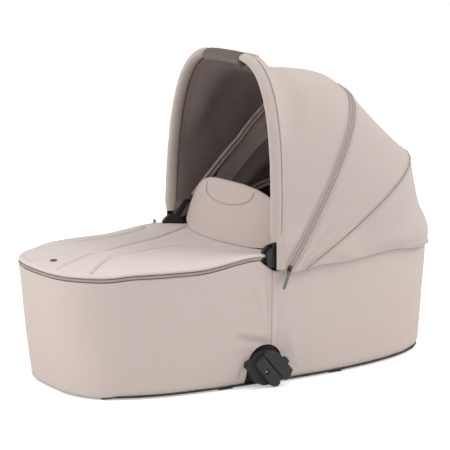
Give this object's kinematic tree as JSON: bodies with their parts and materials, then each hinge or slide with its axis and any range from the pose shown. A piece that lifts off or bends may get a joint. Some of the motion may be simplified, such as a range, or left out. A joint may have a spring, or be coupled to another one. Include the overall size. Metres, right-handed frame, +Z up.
{
  "type": "carrycot",
  "caption": "Soft-sided carrycot with a three-bow folding hood, carry grip, quilted zip-on apron, wind flap and pushchair adaptors.",
  "frame": {"origin": "on the floor under the middle of the object's box", "axes": "+X towards the head end, +Z up, -Y the side in front in the picture"},
  "size_m": [0.8489, 0.4398, 0.6102],
  "materials": {
    "cover_cloth": "matte woven",
    "apron_cloth": "matte, fine ribs",
    "lining_cloth": "matte woven",
    "mesh_cloth": "open mesh",
    "liner_cloth": "matte woven",
    "mattress_cloth": "matte woven",
    "zip_tape": "matte woven",
    "black_plastic": "fine grain",
    "foot_rubber": "matte",
    "alloy_tube": "drawn",
    "steel": "plated",
    "grip_leather": "fine grain",
    "stud_metal": "dark satin"
  },
  "bodies": {
    "tub": {"adaptor_far": "black_plastic", "adaptor_near": "black_plastic", "adaptor_screw_far": "steel", "adaptor_screw_near": "steel", "apron": "apron_cloth", "apron_zip_slider": "black_plastic", "apron_zip_tape": "zip_tape", "base_pan": "black_plastic", "cover_foot_panel": "cover_cloth", "cover_head_panel": "cover_cloth", "foot_pad_front_far": "foot_rubber", "foot_pad_front_near": "foot_rubber", "foot_pad_rear_far": "foot_rubber", "foot_pad_rear_near": "foot_rubber", "foot_stay": "steel", "head_stay": "steel", "hub_housing_far": "black_plastic", "hub_housing_near": "black_plastic", "hub_pin_far": "steel", "hub_pin_near": "steel", "liner": "liner_cloth", "mattress": "mattress_cloth", "press_stud": "stud_metal", "rim_tube": "alloy_tube", "side_upright_far": "black_plastic", "side_upright_near": "black_plastic"},
    "front_bow": {"front_bow": "alloy_tube", "front_bow_arm_near": "black_plastic", "front_bow_arm_far": "black_plastic", "front_bow_sleeve_near": "cover_cloth", "front_bow_sleeve_far": "cover_cloth", "carry_grip": "grip_leather", "hood_front_facing": "cover_cloth", "hood_front_panel": "cover_cloth", "hood_front_lining": "lining_cloth"},
    "middle_bow": {"middle_bow": "steel", "middle_bow_arm_near": "black_plastic", "middle_bow_arm_far": "black_plastic", "middle_bow_sleeve": "lining_cloth", "hood_zip_tape": "zip_tape", "hood_middle_panel": "cover_cloth", "hood_middle_lining": "lining_cloth", "hood_zip_slider_near": "black_plastic", "hood_zip_slider_far": "black_plastic"},
    "rear_bow": {"rear_bow": "steel", "rear_bow_arm_near": "black_plastic", "rear_bow_arm_far": "black_plastic", "rear_bow_sleeve": "lining_cloth", "hood_rear_panel": "cover_cloth", "hood_rear_mesh": "mesh_cloth"},
    "wind_flap": {"wind_flap": "cover_cloth"},
    "hood_zip_pull_near": {"hood_zip_pull_near": "steel"},
    "hood_zip_pull_far": {"hood_zip_pull_far": "steel"},
    "apron_zip_pull": {"apron_zip_pull": "steel"},
    "adaptor_latch_near": {"adaptor_latch_near": "black_plastic"},
    "adaptor_latch_far": {"adaptor_latch_far": "black_plastic"}
  },
  "joints": [
    {"name": "rear_bow_hinge", "type": "hinge", "parent": "tub", "child": "rear_bow", "pos_m": [-0.029, 0, 0.242], "axis": [0, 1, 0], "range_deg": [0, 13], "deforming": ["hood_rear_panel", "hood_rear_mesh"]},
    {"name": "middle_bow_hinge", "type": "hinge", "parent": "rear_bow", "child": "middle_bow", "pos_m": [-0.029, 0, 0.242], "axis": [0, 1, 0], "range_deg": [0, 12], "deforming": ["hood_middle_panel", "hood_middle_lining"]},
    {"name": "front_bow_hinge", "type": "hinge", "parent": "middle_bow", "child": "front_bow", "pos_m": [-0.029, 0, 0.242], "axis": [0, 1, 0], "range_deg": [0, 12], "deforming": ["hood_front_panel", "hood_front_lining"]},
    {"name": "wind_flap_hinge", "type": "hinge", "parent": "tub", "child": "wind_flap", "pos_m": [-0.047, 0, 0.2467], "axis": [0, 1, 0], "range_deg": [-100, 0]},
    {"name": "hood_zip_pull_near_hinge", "type": "hinge", "parent": "middle_bow", "child": "hood_zip_pull_near", "pos_m": [-0.00187, -0.21315, 0.21982], "axis": [-0.9272, 0, 0.3746], "range_deg": [0, 150]},
    {"name": "hood_zip_pull_far_hinge", "type": "hinge", "parent": "middle_bow", "child": "hood_zip_pull_far", "pos_m": [-0.00187, 0.21315, 0.21982], "axis": [0.9272, 0, -0.3746], "range_deg": [0, 150]},
    {"name": "apron_zip_pull_hinge", "type": "hinge", "parent": "tub", "child": "apron_zip_pull", "pos_m": [-0.064, 0.2058, 0.25101], "axis": [1, 0, 0], "range_deg": [0, 150]},
    {"name": "adaptor_latch_near_slide", "type": "slide", "parent": "tub", "child": "adaptor_latch_near", "axis": [-0.7649, 0, -0.6441], "range_m": [0, 0.004], "stiffness_N_per_m": 600},
    {"name": "adaptor_latch_far_slide", "type": "slide", "parent": "tub", "child": "adaptor_latch_far", "axis": [-0.7649, 0, -0.6441], "range_m": [0, 0.004], "stiffness_N_per_m": 600}
  ],
  "couplings": [
    {"joint": "middle_bow_hinge", "follows": "rear_bow_hinge", "ratio": 0.92},
    {"joint": "front_bow_hinge", "follows": "rear_bow_hinge", "ratio": 0.92}
  ]
}
